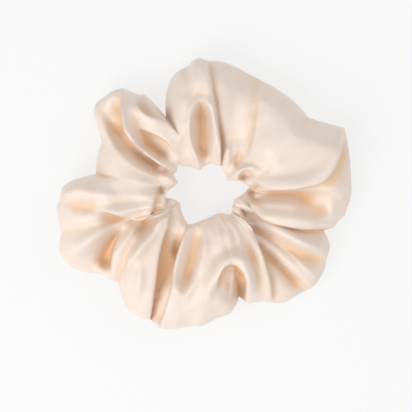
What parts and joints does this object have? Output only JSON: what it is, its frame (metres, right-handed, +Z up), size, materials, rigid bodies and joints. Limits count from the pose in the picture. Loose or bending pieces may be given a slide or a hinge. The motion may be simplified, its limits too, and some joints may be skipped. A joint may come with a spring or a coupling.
{
  "type": "scrunchie",
  "caption": "Gathered satin sleeve sewn round a loop of flat braided elastic, which stretches to hold a ponytail.",
  "frame": {"origin": "middle of the underside of the sleeve's box, on the surface that the scrunchie lies on", "axes": "+Z up along the ring's axis, +X across its widest direction"},
  "size_m": [0.1142, 0.1026, 0.0321],
  "materials": {
    "satin": "satin",
    "sewing_thread": "satin",
    "elastic_yarn": "matte",
    "rubber_thread": "matte",
    "tack_thread": "satin"
  },
  "bodies": {
    "near_side": {"satin_sleeve": "satin", "long_seam_needle_thread": "sewing_thread", "long_seam_bobbin_thread": "sewing_thread", "closing_seam_needle_thread": "sewing_thread", "closing_seam_bobbin_thread": "sewing_thread"},
    "far_side": {"elastic_braid": "elastic_yarn", "rubber_strands": "rubber_thread", "bar_tack_needle_thread": "tack_thread", "bar_tack_bobbin_thread": "tack_thread"}
  },
  "joints": [
    {"name": "stretch", "type": "slide", "parent": "near_side", "child": "far_side", "axis": [1, 0, 0], "range_m": [0, 0.06], "stiffness_N_per_m": 80, "deforming": ["satin_sleeve", "long_seam_needle_thread", "long_seam_bobbin_thread", "elastic_braid", "rubber_strands"]}
  ]
}
